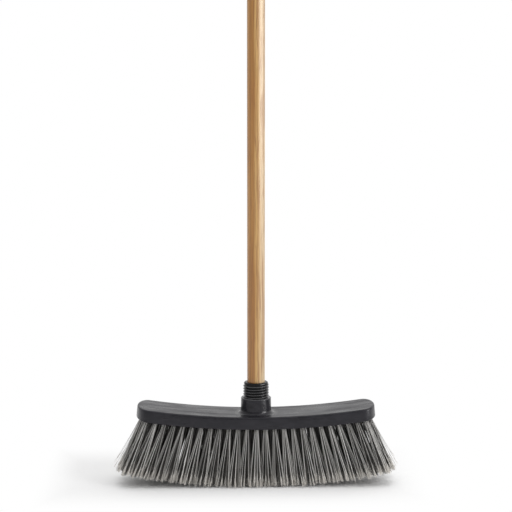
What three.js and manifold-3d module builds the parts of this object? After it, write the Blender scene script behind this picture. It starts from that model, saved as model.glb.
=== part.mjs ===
// An upright broom: a wooden pole that screws into a moulded head set with rows of bristle tufts.
// Millimetres, +Z up. The origin is on the floor under the pole's axis, and the front faces -Y.

import * as THREE from "three";
import { mergeGeometries, mergeVertices } from "three/addons/utils/BufferGeometryUtils.js";
import Module from "manifold-3d";

const wasm = await Module();
wasm.setup();

// Fits
const FIT_GAP = 0.3; // between pieces that sit against each other
const THREAD_CLEARANCE = 0.35; // between the screw thread and the socket cut for it

// Wooden pole
const POLE_DIAMETER = 24;
const POLE_LENGTH = 1300;
const POLE_CROWN = 6; // height of the rounded free end

// Brush block: a slab with bowed ends that curve upwards
const BLOCK_LENGTH = 326;
const BLOCK_DEPTH = 68;
const BLOCK_THICKNESS = 16.3;
const BLOCK_BOW = 17; // how far each end bows out past the straight sides
const BLOCK_TOP_EDGE_RADIUS = 3;
const BLOCK_LOWER_CHAMFER = 0.8;
const BLOCK_DRAFT = 1.2; // how far the walls lean in by the top
const BLOCK_END_RISE = 13.1; // how much higher the ends lie than the middle
const BLOCK_WALL = 2.5; // wall around the underside pocket
const POCKET_DEPTH = 8.6;

// Threaded socket on top of the block
const SOCKET_WALL = 2.5;
const SOCKET_HEIGHT = 21.3;
const SOCKET_FLOOR = 5.2; // material between the socket and the underside pocket
const SOCKET_DRAFT = 0.35;
const SOCKET_RIM_CHAMFER = 1.2;
const SOCKET_FOOT_FILLET = 5;
const SOCKET_FOOT_STEP = 0.8; // height of the low round pad under the fillet

// Screw thread, right-handed
const THREAD_PITCH = 3.75;
const THREAD_DEPTH = 1.5;
const THREAD_CREST_FLAT = 0.5;
const THREAD_FLANK_DEGREES = 36;
const THREAD_LEAD_IN = 2.2; // from the ferrule's lower end to the first turn

// Threaded ferrule on the pole's lower end
const FERRULE_WALL = 3.75; // between the pole's bore and the thread's root
const FERRULE_EXPOSED = 21.5; // how far it stands out of the socket
const FERRULE_WEB = 1.1; // material between the screw head's recess and the pole
const FERRULE_COLLAR_HEIGHT = 3.2;
const FERRULE_COLLAR_STEP = 0.4; // how far the plain collar stands proud of the thread's root
const FERRULE_CHAMFER = 0.8;
const FERRULE_TOP_RADIUS = 2;

// Wood screw that holds the ferrule on the pole
const SCREW_LENGTH = 28;
const SCREW_SHANK_DIAMETER = 4;
const SCREW_HEAD_DIAMETER = 8.4;
const SCREW_HEAD_HEIGHT = 2.6;
const SCREW_HEAD_LIP = 0.4;
const SCREW_POINT = 5;

// Bristle tufts
const BRISTLE_LENGTH = 80.2; // free length below the block
const ROW_COUNT = 5;
const LONG_ROW_TUFTS = 26;
const TUFT_DIAMETER = 5.6; // at the root
const TUFT_END_MARGIN = 3.1; // from the last tuft to the end of the backing
const TUFT_EDGE_MARGIN = 0.5; // least distance from a tuft to the bowed edge of the backing
const ROW_SIDE_MARGIN = 4.4; // from the outer row to the side of the backing
const TUFT_TIP_GAP = 1.5; // left between neighbouring tufts at their tips
const END_TILT_DEGREES = 22.9; // outward tilt of a tuft at the very end of the block
const FAN_EASE_DEGREES = 58; // how soon that tilt levels off
const SIDE_SPLAY_DEGREES = 3; // tilt of the outer rows to the front and back
const TIP_SETTLE = 0.6; // how far the middle tufts give under the broom's weight
const OUTER_ROW_STRANDS = 4; // strands in a tuft
const INNER_ROW_STRANDS = 3;
const STRAND_SIDES = 3;
const STRAND_ROOT_RADIUS = 0.95;
const STRAND_TIP_RADIUS = 2;
const STRAND_ROOT_DEPTH = 1.5; // length inside the backing

// Anchor strips that pinch the folded tufts in the backing
const ANCHOR_THICKNESS = 0.6;
const ANCHOR_HEIGHT = 2;

// Fineness of the round and bent shapes
const POLE_SIDES = 40;
const SOCKET_SIDES = 40;
const SCREW_SIDES = 16;
const THREAD_STEPS = 20; // facets in one turn
const THREAD_RUNOUT_STEPS = 5;
const BOW_STEPS = 8;
const EDGE_STEPS = 3;
const FILLET_STEPS = 5;
const CROWN_STEPS = 5;
const BEND_STEPS = 12;
const THREAD_EMBED = 0.3; // how deep the ridge of the thread sinks into its core
const CUT_MARGIN = 2; // how far a cutting shape reaches past the face that it cuts
const WELD = 1e-4; // points closer than this are one point

// Heights of the stacked pieces, from the floor up
const underside = BRISTLE_LENGTH;
const blockTop = underside + BLOCK_THICKNESS;
const pocketCeiling = underside + POCKET_DEPTH;
const socketFloor = pocketCeiling + SOCKET_FLOOR;
const socketRim = blockTop + SOCKET_HEIGHT;
const ferruleBottom = socketFloor + FIT_GAP;
const ferruleTop = socketRim + FERRULE_EXPOSED;
const screwBottom = ferruleBottom + FIT_GAP;
const screwTop = screwBottom + SCREW_LENGTH;
const ferruleFloor = screwBottom + SCREW_HEAD_HEIGHT + FERRULE_WEB;
const poleBottom = ferruleFloor + FIT_GAP;
const poleTop = poleBottom + POLE_LENGTH;

// Radii of the pieces that turn inside each other, from the axis out
const shankRadius = SCREW_SHANK_DIAMETER / 2;
const screwHeadRadius = SCREW_HEAD_DIAMETER / 2;
const screwHoleRadius = shankRadius + FIT_GAP;
const poleRadius = POLE_DIAMETER / 2;
const ferruleBore = poleRadius + FIT_GAP;
const threadRoot = ferruleBore + FERRULE_WALL;
const threadCrest = threadRoot + THREAD_DEPTH;
const collarRadius = threadRoot + FERRULE_COLLAR_STEP;
const socketRadius = threadCrest + THREAD_CLEARANCE + SOCKET_WALL;

// Field of the tufts on the backing
const backingInset = BLOCK_WALL + FIT_GAP;
const tuftRadius = TUFT_DIAMETER / 2;
const endTuftX = BLOCK_LENGTH / 2 - backingInset - TUFT_END_MARGIN - tuftRadius;
const outerRowY = BLOCK_DEPTH / 2 - backingInset - ROW_SIDE_MARGIN - tuftRadius;
const tuftPitch = (2 * endTuftX) / (LONG_ROW_TUFTS - 1);
const rowPitch = (2 * outerRowY) / (ROW_COUNT - 1);
const rootSpread = tuftRadius - STRAND_ROOT_RADIUS;
const tipReach = (Math.min(tuftPitch, Math.hypot(tuftPitch / 2, rowPitch)) - TUFT_TIP_GAP) / 2;
const tipSpread = tipReach - STRAND_TIP_RADIUS;

const radians = THREE.MathUtils.degToRad;

// A closed mesh as a solid that can be joined and cut; triangles shrunk to a line are dropped
function toSolid(geometry) {
  const bare = geometry.clone();
  bare.deleteAttribute("normal");
  bare.deleteAttribute("uv");
  const merged = mergeVertices(bare, WELD);
  const corners = merged.index.array;
  const kept = [];
  for (let i = 0; i < corners.length; i += 3) {
    const [a, b, c] = corners.slice(i, i + 3);
    if (a !== b && b !== c && c !== a) {
      kept.push(a, b, c);
    }
  }
  const vertProperties = new Float32Array(merged.attributes.position.array);
  const triVerts = new Uint32Array(kept);
  return new wasm.Manifold(new wasm.Mesh({ numProp: 3, vertProperties, triVerts }));
}

// A solid back as a mesh
function toGeometry(solid) {
  const { vertProperties, triVerts } = solid.getMesh();
  return meshOf(vertProperties, triVerts);
}

// A mesh from its points and the corners of its triangles
function meshOf(points, corners) {
  const geometry = new THREE.BufferGeometry();
  geometry.setAttribute("position", new THREE.Float32BufferAttribute(points, 3));
  geometry.setIndex([...corners]);
  geometry.computeVertexNormals();
  return geometry;
}

// A solid of revolution about Z from a profile of [radius, height] points
function lathe(profile, sides) {
  const points = profile.map(([radius, height]) => new THREE.Vector2(radius, height));
  return new THREE.LatheGeometry(points, sides).rotateX(Math.PI / 2);
}

// Points of a quarter arc about a centre, as [radius, height], from one angle to another
function arc(centre, radiusAcross, radiusUp, fromDegrees, toDegrees, steps) {
  const points = [];
  for (let i = 0; i <= steps; i++) {
    const angle = radians(fromDegrees + ((toDegrees - fromDegrees) * i) / steps);
    points.push([centre[0] + radiusAcross * Math.cos(angle), centre[1] + radiusUp * Math.sin(angle)]);
  }
  return points;
}

// A box from its lowest to its highest corner, divided along X so that it can bend
function box(low, high, steps = 1) {
  const size = high.map((value, axis) => value - low[axis]);
  const middle = high.map((value, axis) => (value + low[axis]) / 2);
  return new THREE.BoxGeometry(...size, steps, 1, 1).translate(...middle);
}

// How much higher the block lies at x than in the middle
function endRise(x) {
  return BLOCK_END_RISE * ((2 * x) / BLOCK_LENGTH) ** 2;
}

// Lifts each point of a flat shape by the block's curve
function bend(geometry) {
  const points = geometry.attributes.position;
  for (let i = 0; i < points.count; i++) {
    points.setZ(i, points.getZ(i) + endRise(points.getX(i)));
  }
  return geometry;
}

// Half of the block's plan outline, drawn in by an inset, as [x, half depth] from the left end to the right
function halfOutline(inset) {
  const bowX = BLOCK_LENGTH / 2 - BLOCK_BOW;
  const halfDepth = BLOCK_DEPTH / 2 - inset;
  const rightEnd = arc([bowX, 0], BLOCK_BOW - inset, halfDepth, 90, 0, BOW_STEPS);
  const leftEnd = rightEnd.map(([x, y]) => [-x, y]).reverse();
  const side = [];
  for (let i = 1; i < BEND_STEPS; i++) {
    side.push([bowX * ((2 * i) / BEND_STEPS - 1), halfDepth]);
  }
  return [...leftEnd, ...side, ...rightEnd];
}

// A bent slab with the block's outline, from [inset, height] levels listed from the bottom up
function bentSlab(levels) {
  const points = [];
  const corners = [];
  let count = 0;
  for (const [inset, height] of levels) {
    const edge = halfOutline(inset);
    const front = edge.map(([x, y]) => [x, -y, height]);
    const back = edge.map(([x, y]) => [x, y, height]).reverse();
    points.push(...front.flat(), ...back.flat());
    count = 2 * edge.length;
  }
  const top = count * (levels.length - 1);
  for (let ring = 0; ring < top; ring += count) {
    for (let i = 0; i < count; i++) {
      const next = (i + 1) % count;
      corners.push(ring + i, ring + next, ring + count + next);
      corners.push(ring + i, ring + count + next, ring + count + i);
    }
  }
  for (let i = 0; i < count / 2 - 1; i++) {
    const across = count - 1 - i;
    corners.push(top + i, top + i + 1, top + across - 1);
    corners.push(top + i, top + across - 1, top + across);
    corners.push(i, across - 1, i + 1);
    corners.push(i, across, across - 1);
  }
  return bend(meshOf(points, corners));
}

// The thread as a helical ridge between two heights of its centre line, grown by a clearance
function threadRidge(clearance, fromHeight, toHeight, runoutSteps) {
  const slope = Math.tan(radians(THREAD_FLANK_DEGREES));
  const inner = threadRoot + clearance - THREAD_EMBED;
  const sunk = threadRoot + clearance - THREAD_EMBED / 2;
  const outer = threadCrest + clearance;
  const flankShift = clearance / Math.cos(radians(THREAD_FLANK_DEGREES));
  const halfWidth = (radius) => THREAD_CREST_FLAT / 2 + flankShift + (threadCrest - radius) * slope;
  const stepRise = THREAD_PITCH / THREAD_STEPS;
  const first = Math.ceil((fromHeight - socketFloor) / stepRise);
  const last = Math.floor((toHeight - socketFloor) / stepRise);
  const points = [];
  const corners = [0, 1, 2, 0, 2, 3];
  for (let step = first; step <= last; step++) {
    const angle = (2 * Math.PI * step) / THREAD_STEPS;
    const height = socketFloor + stepRise * step;
    const fullness = runoutSteps ? Math.min(1, Math.min(step - first, last - step) / runoutSteps) : 1;
    const crest = THREE.MathUtils.lerp(sunk, outer, fullness);
    const section = [
      [inner, -halfWidth(inner)],
      [crest, -halfWidth(crest)],
      [crest, halfWidth(crest)],
      [inner, halfWidth(inner)],
    ];
    for (const [radius, offset] of section) {
      points.push(radius * Math.cos(angle), radius * Math.sin(angle), height + offset);
    }
  }
  const end = 4 * (last - first);
  for (let ring = 0; ring < end; ring += 4) {
    for (let i = 0; i < 4; i++) {
      const next = (i + 1) % 4;
      corners.push(ring + i, ring + 4 + i, ring + 4 + next);
      corners.push(ring + i, ring + 4 + next, ring + next);
    }
  }
  corners.push(end, end + 2, end + 1, end, end + 3, end + 2);
  return toSolid(meshOf(points, corners));
}

// Pole with a rounded top and a pilot hole for the screw in its lower end
function makePole() {
  const profile = [
    [0, screwTop + FIT_GAP],
    [screwHoleRadius, screwTop + FIT_GAP],
    [screwHoleRadius, poleBottom],
    [poleRadius, poleBottom],
    ...arc([0, poleTop - POLE_CROWN], poleRadius, POLE_CROWN, 0, 90, CROWN_STEPS),
  ];
  return toGeometry(toSolid(lathe(profile, POLE_SIDES)));
}

// Cup that takes the pole's end, with a recess for the screw head in its floor and the thread outside
function makeFerrule() {
  const recessRadius = screwHeadRadius + FIT_GAP;
  const threadTop = ferruleTop - FERRULE_COLLAR_HEIGHT;
  const rimCentre = [collarRadius - FERRULE_TOP_RADIUS, ferruleTop - FERRULE_TOP_RADIUS];
  const profile = [
    [recessRadius, ferruleBottom],
    [threadRoot - FERRULE_CHAMFER, ferruleBottom],
    [threadRoot, ferruleBottom + FERRULE_CHAMFER],
    [threadRoot, threadTop],
    [collarRadius, threadTop + FERRULE_COLLAR_STEP],
    ...arc(rimCentre, FERRULE_TOP_RADIUS, FERRULE_TOP_RADIUS, 0, 90, EDGE_STEPS),
    [ferruleBore + FERRULE_CHAMFER, ferruleTop],
    [ferruleBore, ferruleTop - FERRULE_CHAMFER],
    [ferruleBore, ferruleFloor],
    [screwHoleRadius, ferruleFloor],
    [screwHoleRadius, screwBottom + SCREW_HEAD_HEIGHT],
    [recessRadius, screwBottom + SCREW_HEAD_LIP],
    [recessRadius, ferruleBottom],
  ];
  const body = toSolid(lathe(profile, THREAD_STEPS));
  const ridge = threadRidge(0, ferruleBottom + THREAD_LEAD_IN, threadTop, THREAD_RUNOUT_STEPS);
  return toGeometry(body.add(ridge));
}

// Countersunk screw, driven up through the ferrule's floor into the pole
function makeScrew() {
  const profile = [
    [0, screwBottom],
    [screwHeadRadius, screwBottom],
    [screwHeadRadius, screwBottom + SCREW_HEAD_LIP],
    [shankRadius, screwBottom + SCREW_HEAD_HEIGHT],
    [shankRadius, screwTop - SCREW_POINT],
    [0, screwTop],
  ];
  return toGeometry(toSolid(lathe(profile, SCREW_SIDES)));
}

// Block with its socket, the thread cut in the socket and the pocket under it
function makeBlock() {
  const edgeHeight = blockTop - BLOCK_TOP_EDGE_RADIUS;
  const edgeInset = BLOCK_DRAFT + BLOCK_TOP_EDGE_RADIUS;
  const topEdge = arc([0, edgeHeight], BLOCK_TOP_EDGE_RADIUS, BLOCK_TOP_EDGE_RADIUS, 0, 90, EDGE_STEPS);
  const slab = bentSlab([
    [BLOCK_LOWER_CHAMFER, underside],
    [0, underside + BLOCK_LOWER_CHAMFER],
    ...topEdge.map(([across, height]) => [edgeInset - across, height]),
  ]);
  const footTop = blockTop + SOCKET_FOOT_STEP;
  const footRadius = socketRadius + SOCKET_DRAFT + SOCKET_FOOT_FILLET;
  const filletCentre = [footRadius, footTop + SOCKET_FOOT_FILLET];
  const socket = lathe(
    [
      [0, pocketCeiling],
      [footRadius, pocketCeiling],
      ...arc(filletCentre, SOCKET_FOOT_FILLET, SOCKET_FOOT_FILLET, 270, 180, FILLET_STEPS),
      [socketRadius, socketRim - SOCKET_RIM_CHAMFER],
      [socketRadius - SOCKET_RIM_CHAMFER, socketRim],
      [0, socketRim],
    ],
    SOCKET_SIDES,
  );
  const boreRadius = threadRoot + THREAD_CLEARANCE;
  const boreTop = socketRim + CUT_MARGIN;
  const boreProfile = [
    [0, socketFloor],
    [boreRadius, socketFloor],
    [boreRadius, boreTop],
    [0, boreTop],
  ];
  const bore = lathe(boreProfile, THREAD_STEPS);
  const grooveBottom = ferruleBottom + THREAD_LEAD_IN - THREAD_PITCH / 4;
  const groove = threadRidge(THREAD_CLEARANCE, grooveBottom, socketRim + THREAD_PITCH, 0);
  const pocket = bentSlab([
    [BLOCK_WALL, underside - CUT_MARGIN],
    [BLOCK_WALL, pocketCeiling],
  ]);
  const moulding = toSolid(slab).add(toSolid(socket));
  return toGeometry(moulding.subtract(toSolid(bore)).subtract(groove).subtract(toSolid(pocket)));
}

// How far from the block's middle line a tuft may stand at x, inside the bowed ends
function sideLimit(x) {
  const inset = backingInset + TUFT_EDGE_MARGIN + tuftRadius;
  const intoBow = Math.max(Math.abs(x) - BLOCK_LENGTH / 2 + BLOCK_BOW, 0);
  return (BLOCK_DEPTH / 2 - inset) * Math.sqrt(1 - (intoBow / (BLOCK_BOW - inset)) ** 2);
}

// One row of tufts: its line from front to back, and the [x, y] of its tufts, drawn in at the bowed ends
function makeRow(index) {
  const y = rowPitch * index - outerRowY;
  const count = LONG_ROW_TUFTS - 1 + (index % 2);
  const places = [];
  for (let i = 0; i < count; i++) {
    const x = tuftPitch * (i - (count - 1) / 2);
    const limit = sideLimit(x);
    places.push([x, THREE.MathUtils.clamp(y, -limit, limit)]);
  }
  return { y, places, outer: index === 0 || index === ROW_COUNT - 1 };
}

// Outward tilt of a tuft that stands at x
function fanTilt(x) {
  const ease = radians(FAN_EASE_DEGREES);
  return (radians(END_TILT_DEGREES) * Math.sin((ease * 2 * x) / BLOCK_LENGTH)) / Math.sin(ease);
}

// A straight strand from its root down to its level tip
function strand(root, tip, turn) {
  const points = [];
  const corners = [];
  for (const [centre, radius] of [[root, STRAND_ROOT_RADIUS], [tip, STRAND_TIP_RADIUS]]) {
    for (let side = 0; side < STRAND_SIDES; side++) {
      const angle = turn + (2 * Math.PI * side) / STRAND_SIDES;
      points.push(centre[0] + radius * Math.cos(angle), centre[1] + radius * Math.sin(angle), centre[2]);
    }
  }
  for (let side = 0; side < STRAND_SIDES; side++) {
    const next = (side + 1) % STRAND_SIDES;
    corners.push(STRAND_SIDES + side, STRAND_SIDES + next, next);
    corners.push(STRAND_SIDES + side, next, side);
  }
  for (let side = 1; side < STRAND_SIDES - 1; side++) {
    corners.push(0, side, side + 1);
    corners.push(STRAND_SIDES, STRAND_SIDES + side + 1, STRAND_SIDES + side);
  }
  return meshOf(points, corners);
}

// The strands of one tuft, spread evenly round its axis and parting towards the tips
function makeTuft([x, y], row) {
  const count = row.outer ? OUTER_ROW_STRANDS : INNER_ROW_STRANDS;
  const tilt = fanTilt(x);
  const splay = radians(SIDE_SPLAY_DEGREES) * (y / outerRowY);
  const rootZ = underside + endRise(x);
  const tipX = x + BRISTLE_LENGTH * Math.sin(tilt);
  const tipY = y + BRISTLE_LENGTH * Math.sin(splay);
  const tipZ = Math.max(0, rootZ - BRISTLE_LENGTH * Math.cos(tilt) - TIP_SETTLE);
  const strands = [];
  for (let i = 0; i < count; i++) {
    const turn = Math.PI / 2 + (Math.PI * (2 * i + 1)) / count;
    const across = Math.cos(turn);
    const along = Math.sin(turn);
    const root = [x + rootSpread * across, y + rootSpread * along, rootZ + STRAND_ROOT_DEPTH];
    const tip = [tipX + tipSpread * across, tipY + tipSpread * along, tipZ];
    strands.push(strand(root, tip, turn));
  }
  return strands;
}

// The anchor strip of a row's straight part, or its open groove when grown by a gap
function anchorStrip(row, gap) {
  const straight = row.places.filter(([, y]) => y === row.y);
  const reach = Math.max(...straight.map(([x]) => x)) + tuftRadius + gap;
  const half = ANCHOR_THICKNESS / 2 + gap;
  const top = pocketCeiling - FIT_GAP;
  const low = [-reach, row.y - half, top - ANCHOR_HEIGHT - gap];
  const high = [reach, row.y + half, top + (gap ? CUT_MARGIN : 0)];
  return toSolid(bend(box(low, high, BEND_STEPS)));
}

// The tufts of some neighbouring rows on their slice of the backing, grooved for the anchors
function makeTufts(rows, frontY, backY) {
  const backing = bentSlab([
    [backingInset, underside],
    [backingInset, pocketCeiling - FIT_GAP],
  ]);
  const slice = box([-BLOCK_LENGTH, frontY, 0], [BLOCK_LENGTH, backY, socketRim + BLOCK_END_RISE]);
  let solid = toSolid(backing).intersect(toSolid(slice));
  for (const row of rows) {
    solid = solid.subtract(anchorStrip(row, FIT_GAP));
    const strands = row.places.flatMap((place) => makeTuft(place, row));
    solid = solid.add(toSolid(mergeGeometries(strands)));
  }
  return toGeometry(solid);
}

const wood = () => new THREE.MeshStandardMaterial({ color: 0xc29160, roughness: 0.55, metalness: 0 });
const plastic = () => new THREE.MeshStandardMaterial({ color: 0x2e2e30, roughness: 0.45, metalness: 0 });
const bristle = () => new THREE.MeshStandardMaterial({ color: 0x807d78, roughness: 0.6, metalness: 0 });
const steel = () => new THREE.MeshStandardMaterial({ color: 0xb8babd, roughness: 0.35, metalness: 1 });

const broom = new THREE.Group();

function addPiece(name, geometry, material) {
  const mesh = new THREE.Mesh(geometry, material);
  mesh.name = name;
  broom.add(mesh);
}

const rows = Array.from({ length: ROW_COUNT }, (_, index) => makeRow(index));
const side = BLOCK_DEPTH / 2;
const split = outerRowY - rowPitch / 2;
const halfGap = FIT_GAP / 2;
const frontTufts = makeTufts(rows.slice(0, 1), -side, -split - halfGap);
const innerTufts = makeTufts(rows.slice(1, -1), -split + halfGap, split - halfGap);
const backTufts = makeTufts(rows.slice(-1), split + halfGap, side);

addPiece("handle_pole", makePole(), wood());
addPiece("threaded_ferrule", makeFerrule(), plastic());
addPiece("ferrule_screw", makeScrew(), steel());
addPiece("brush_block", makeBlock(), plastic());
addPiece("front_tufts", frontTufts, bristle());
addPiece("inner_tufts", innerTufts, bristle());
addPiece("back_tufts", backTufts, bristle());
rows.forEach((row, index) => {
  addPiece(`anchor_row_${index + 1}`, toGeometry(anchorStrip(row, 0)), steel());
});

export default broom;
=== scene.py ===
import math

import bmesh
import bpy
import numpy as np
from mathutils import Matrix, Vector


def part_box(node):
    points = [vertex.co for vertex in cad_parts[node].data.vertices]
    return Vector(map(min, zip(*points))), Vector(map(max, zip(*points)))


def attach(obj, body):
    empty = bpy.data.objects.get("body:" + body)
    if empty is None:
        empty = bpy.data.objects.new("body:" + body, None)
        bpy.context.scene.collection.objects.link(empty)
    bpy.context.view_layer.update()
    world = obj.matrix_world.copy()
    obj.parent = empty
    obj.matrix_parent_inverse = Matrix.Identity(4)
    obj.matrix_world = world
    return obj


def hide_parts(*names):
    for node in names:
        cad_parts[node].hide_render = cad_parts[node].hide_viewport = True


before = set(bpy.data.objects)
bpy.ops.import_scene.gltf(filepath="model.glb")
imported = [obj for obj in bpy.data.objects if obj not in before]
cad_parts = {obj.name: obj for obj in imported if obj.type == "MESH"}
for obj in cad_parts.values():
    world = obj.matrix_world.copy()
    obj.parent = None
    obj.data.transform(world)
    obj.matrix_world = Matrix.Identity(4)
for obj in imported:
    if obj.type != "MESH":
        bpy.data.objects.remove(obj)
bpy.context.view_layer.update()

MM = 0.001  # metres in a millimetre

# Pole
POLE_CROWN = 6.0
POLE_END_BEVEL = 0.8
POLE_RING_STEP = 25.0
PILOT_CLEARANCE = 0.3

# Ferrule and its thread
THREAD_PITCH = 3.75
THREAD_DEPTH = 1.5
THREAD_CREST_FLAT = 0.3
THREAD_FLANK_RUN = 1.55
THREAD_RUNOUT_TURNS = 0.3
THREAD_LEAD_IN = 2.2  # from the ferrule's lower end to the first turn
THREAD_CLEARANCE = 0.35
FERRULE_WALL = 3.75
FERRULE_FIT = 0.3
FERRULE_COLLAR_HEIGHT = 3.2
FERRULE_COLLAR_STEP = 0.4
FERRULE_EDGE_RADIUS = 0.6
FERRULE_TOP_RADIUS = 2.0
SCREW_HEAD_HEIGHT = 2.6
SCREW_SHANK_RADIUS = 2.0

# Block and socket
BLOCK_THICKNESS = 16.3
BLOCK_BOW = 17.0  # how far each end bows out past the straight sides
BLOCK_TOP_EDGE_RADIUS = 3.0
BLOCK_LOWER_EDGE_RADIUS = 0.5
BLOCK_DRAFT = 1.2  # how far the walls lean in by the top
BLOCK_END_RISE = 13.1  # how much higher the ends lie than the middle
TOP_FACE_INSET = 1.5  # from the wall to the flat of the top, in radii of the edge between them
LOWER_FACE_INSET = 2.0  # the same on the underside
SOCKET_WALL = 2.5
SOCKET_DRAFT = 0.35
SOCKET_RIM_RADIUS = 0.9
SOCKET_FOOT_FILLET = 5.0
SOCKET_FOOT_STEP = 0.25
SOCKET_BURIAL = BLOCK_THICKNESS / 3  # how deep the socket's solid reaches into the slab

# Tufts
LONG_ROW_TUFTS = 26  # in the even rows; the odd rows have one less
ROW_COUNT = 5
TUFT_DIAMETER = 5.6
TUFT_END_MARGIN = 3.1
TUFT_EDGE_MARGIN = 0.5
BACKING_INSET = 2.8
HOLE_CLEARANCE = 0.15
HOLE_DEPTH = 8.5
BRISTLE_LENGTH = 80.2
END_TILT_DEGREES = 22.9
FAN_EASE_DEGREES = 58.0  # how much of a sine's quarter turn the fan follows
SIDE_SPLAY_DEGREES = 3.0
TIP_SETTLE = 0.6
END_TIP_LIFT = 1.2
END_LIFT_POWER = 4
STAPLE_LENGTH = 6.0
STAPLE_HEIGHT = 2.0
STAPLE_EDGE = 0.12
STAPLE_EDGE_STEPS = 2

# Filaments: each tuft is gathered in loose locks, and each filament ends in split hairs
OUTER_LOCKS = (10, 13)  # in the skin and in the core
INNER_LOCKS = (10, 10)
LOCK_FILAMENTS = 4
FILAMENT_STEPS = 6
FILAMENT_SIDES = 3  # so that one triangle closes each end
FILAMENT_ROOT_RADIUS = 0.4
FILAMENT_TIP_RADIUS = 0.2
FILAMENT_ROOT_DEPTH = 5.0
HAIRS_PER_FILAMENT = 3
HAIR_STEPS = 2
HAIR_ROOT_RADIUS = 0.17
HAIR_TIP_RADIUS = 0.085
HAIR_SCATTER = (1.3, 1.3, 0.65)
SKIN_REACH = (0.82, 1.0)
CORE_REACH = 0.7
SKIN_JITTER = 0.25
LOCK_ROOT_SPREAD = 2.0
LOCK_TIP_SPREAD = 9.6
LOCK_WANDER = 0.7
TUFT_WANDER = 0.6
STRAND_ROOT_SCATTER = 0.15
STRAND_TIP_SCATTER = 0.28
STRAND_WAVE = 0.25
STRAND_HALF_WAVES = 1.6
ROOT_REACH = 2.6
END_ROOT_REACH = 2.2  # on the outer side of the tufts at the ends
END_TIP_REACH = 3.8
OUTER_SPREAD_POWER = 0.95
INNER_SPREAD_POWER = 0.4
TRIM_SCATTER = 1.2
STRAYS_PER_END = 2
STRAY_REACH = (3.6, 9.0)
STRAY_REACH_POWER = 1.3
STRAY_LIFT = (3.6, 12.0)
STRAY_LIFT_POWER = 1.5
LOWEST_TIP = 0.15
SEED = 20

# Tone of the filaments, from 0 for dark to 1 for pale; the dark cores of the tufts, the lowered tone of the
# inner tufts and the shade near the roots of the inner tufts are painted shade
SKIN_TONE = 0.82
SHADED_CORE_TONE = 0.0
SHADED_INNER_TONE_SHARE = 0.5
LOCK_TONE_SCATTER = 0.18
STRAND_TONE_SCATTER = 0.1
INNER_ROOT_SHADE = 0.8
SHADE_POWER = 0.9

# Fineness of the meshes
ROUND_SIDES = 96
THREAD_ROWS = 12
EDGE_STEPS = 5
FILLET_STEPS = 10
BOW_STEPS = 20
LENGTH_STEPS = 72
HOLE_SIDES = 20
CUT_MARGIN = 2.0
WELD = 1e-4
CREASE_DEGREES = 32.0
LARGEST_EASE = 0.45  # share of a side that a rounded corner may take

# Colours, as linear red, green and blue; several for one material run from dark to light
WHITE = (1.0, 1.0, 1.0)
BLACK = (0.0, 0.0, 0.0)
# The wood runs from a darker colour on the pole's left to a lighter one on its right
DARKER_SIDE_WOOD = ((0.43, 0.185, 0.042), (0.51, 0.245, 0.064), (0.57, 0.3, 0.09))
LIGHTER_SIDE_WOOD = ((0.57, 0.325, 0.105), (0.66, 0.405, 0.15), (0.72, 0.47, 0.2))
# Painted highlight: the pale strip on the pole's right
PAINTED_HIGHLIGHT_WOOD = (0.63, 0.475, 0.285)
RING_BROWN = (0.34, 0.15, 0.038)
FIBRE_BROWN = (0.32, 0.135, 0.042)
PORE_BROWN = (0.22, 0.1, 0.035)
BLOCK_BLACKS = ((0.0105, 0.01, 0.0135), (0.026, 0.025, 0.031))
SMUDGE_GREY = (0.034, 0.032, 0.039)
CLOUD_BLACK = (0.012, 0.0115, 0.0145)
# Painted highlight along the top of the socket's rim
RIM_HIGHLIGHT_GREY = (0.09, 0.09, 0.094)
FERRULE_BLACKS = ((0.003, 0.003, 0.0035), (0.007, 0.007, 0.008))
# Rubbed crests of the thread, lightened also as a painted highlight
CREST_WEAR_AND_HIGHLIGHT_GREY = (0.022, 0.022, 0.023)
BRISTLE_GREYS = ((0.045, 0.0435, 0.0405), (0.18, 0.176, 0.168), (0.4, 0.393, 0.379), (0.83, 0.816, 0.789))
SPECK_GREY = (0.2, 0.189, 0.173)
TIP_CREAM = (0.98, 0.94, 0.88)
WIRE_GREYS = ((0.36, 0.37, 0.39), (0.5, 0.51, 0.53))
ZINC_GREYS = ((0.42, 0.43, 0.46), (0.56, 0.57, 0.6))
FLOOR_GREY = (0.96, 0.96, 0.96)

# Where noise mostly lies, and where the colours of wood and bristles stand on their ramps
NOISE_RANGE = (0.3, 0.7)
WOOD_PLACES = (0.3, 0.55, 0.75)
BRISTLE_PLACES = (0.0, 0.35, 0.65, 1.0)

# Bands of the wood's colour across the pole, from its axis to the right, and how far they waver: it turns
# lighter from the left towards the axis, and the palest strip on the right is a painted highlight
GRAIN_WAVER = (-2.0, 2.0)
LIGHTER_SIDE_EDGE = (-4.2, -0.4)
PAINTED_HIGHLIGHT_EDGE = (2.0, 8.0)

# Painted highlights, wear, paler tips and polish: where each begins and where it is full
# The band at the socket's rim is a painted highlight
RIM_HIGHLIGHT_BAND = (-1.0, -0.2)  # height over the socket's rim
POLISH_EDGE = (31.0, 24.0)  # distance from the pole's axis
# The crest band is rubbed wear with a painted highlight
CREST_WEAR_AND_HIGHLIGHT = (0.55, 1.0)  # share of the thread's depth
TIP_PALING = (0.76, 0.97)  # share of a filament's length
PALE_TONE = (0.0, 0.8)  # tones from the least to the most paled tips
TIP_PALING_SHARE = (0.1, 1.0)

# Roughness, over the range of the noise or tone that varies it
WOOD_ROUGHNESS = (0.45, 0.6)
BLOCK_ROUGHNESS = (0.18, 0.48)
POLISH_ROUGHNESS = 0.2
FERRULE_ROUGHNESS = (0.16, 0.24)
BRISTLE_ROUGHNESS = (0.55, 0.4)
STEEL_ROUGHNESS = (0.24, 0.42)

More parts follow.
